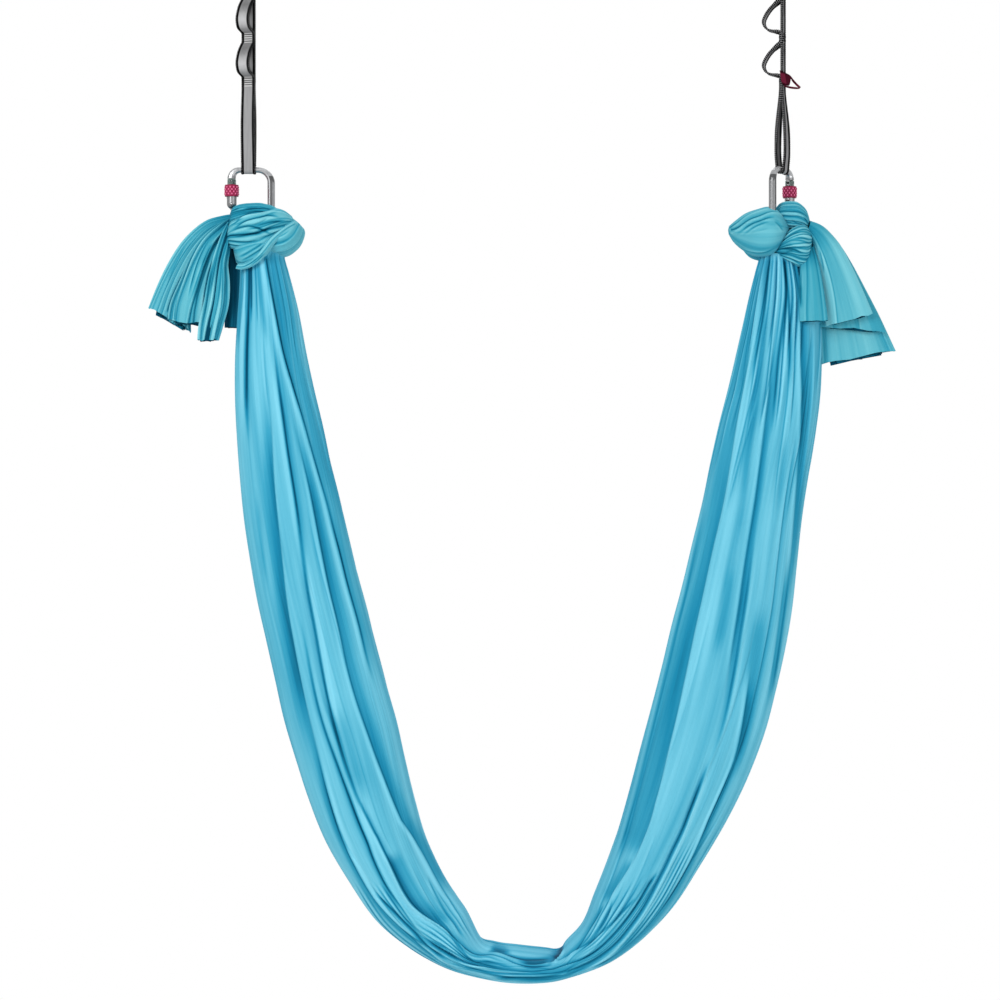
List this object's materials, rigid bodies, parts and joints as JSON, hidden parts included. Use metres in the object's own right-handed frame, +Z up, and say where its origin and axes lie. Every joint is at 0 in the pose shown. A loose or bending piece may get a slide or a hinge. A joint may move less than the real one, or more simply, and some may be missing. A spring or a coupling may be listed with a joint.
{
  "type": "aerial hammock",
  "caption": "Aerial hammock: a gathered cloth sling knotted round screw-gate carabiners that hang in daisy-chain webbing straps.",
  "frame": {"origin": "middle of the line between the two anchor eyes, level with the insides of their crowns", "axes": "+X from the left strap to the right strap, -Y towards the viewer, +Z up"},
  "size_m": [1.022, 0.1712, 1.4257],
  "materials": {
    "webbing": "woven grey webbing with dark edges",
    "thread": "black bar-tack thread",
    "tab": "dark red woven tape",
    "polished_steel": "polished",
    "bright_steel": "bright",
    "pink_sleeve": "knurled, coloured pink",
    "nylon": "natural nylon",
    "cloth": "turquoise tricot with a soft sheen"
  },
  "bodies": {
    "straps": {"left_strap_webbing": "webbing", "left_carabiner_loop": "webbing", "right_strap_webbing": "webbing", "right_carabiner_loop": "webbing", "left_upper_tack_front": "thread", "left_upper_tack_back": "thread", "left_middle_tack_front": "thread", "left_middle_tack_back": "thread", "left_lower_tack_front": "thread", "left_lower_tack_back": "thread", "right_upper_tack_front": "thread", "right_upper_tack_back": "thread", "right_middle_tack_front": "thread", "right_middle_tack_back": "thread", "right_lower_tack_front": "thread", "right_lower_tack_back": "thread", "red_tab": "tab"},
    "hammock": {"left_carabiner_body": "polished_steel", "right_carabiner_body": "polished_steel", "left_knot": "cloth", "right_knot": "cloth", "left_tail": "cloth", "right_tail": "cloth", "sling": "cloth"},
    "left_gate": {"left_gate": "polished_steel", "left_gate_rivet": "bright_steel", "left_latch_pin": "bright_steel", "left_gate_plunger": "bright_steel", "left_gate_spring": "bright_steel"},
    "left_ring": {"left_friction_ring": "nylon"},
    "left_sleeve": {"left_locking_sleeve": "pink_sleeve"},
    "right_gate": {"right_gate": "polished_steel", "right_gate_rivet": "bright_steel", "right_latch_pin": "bright_steel", "right_gate_plunger": "bright_steel", "right_gate_spring": "bright_steel"},
    "right_ring": {"right_friction_ring": "nylon"},
    "right_sleeve": {"right_locking_sleeve": "pink_sleeve"}
  },
  "joints": [
    {"name": "hammock_swing", "type": "hinge", "parent": "straps", "child": "hammock", "pos_m": [0, 0, -0.3095], "axis": [1, 0, 0], "range_deg": [-40, 40], "deforming": ["right_carabiner_loop"]},
    {"name": "left_gate_hinge", "type": "hinge", "parent": "hammock", "child": "left_gate", "pos_m": [-0.3902, 0, -0.3565], "axis": [0, 1, 0], "range_deg": [0, 30], "stiffness_Nm_per_rad": 0.06, "springref_deg": -34.38},
    {"name": "left_sleeve_rise", "type": "slide", "parent": "left_gate", "child": "left_ring", "axis": [0, 0, -1], "range_m": [-0.01, 0]},
    {"name": "left_sleeve_turn", "type": "hinge", "parent": "left_ring", "child": "left_sleeve", "pos_m": [-0.3902, 0, -0.34], "axis": [0, 0, -1], "range_deg": [-1800, 0]},
    {"name": "right_gate_hinge", "type": "hinge", "parent": "hammock", "child": "right_gate", "pos_m": [0.37895, 0.01989, -0.3565], "axis": [0.8572, -0.515, 0], "range_deg": [0, 30], "stiffness_Nm_per_rad": 0.06, "springref_deg": -34.38},
    {"name": "right_sleeve_rise", "type": "slide", "parent": "right_gate", "child": "right_ring", "axis": [0, 0, -1], "range_m": [-0.01, 0]},
    {"name": "right_sleeve_turn", "type": "hinge", "parent": "right_ring", "child": "right_sleeve", "pos_m": [0.37895, 0.01989, -0.34], "axis": [0, 0, -1], "range_deg": [-1800, 0]}
  ],
  "couplings": [
    {"joint": "left_sleeve_turn", "follows": "left_sleeve_rise", "rad_per_m": 3141.6},
    {"joint": "right_sleeve_turn", "follows": "right_sleeve_rise", "rad_per_m": 3141.6}
  ]
}
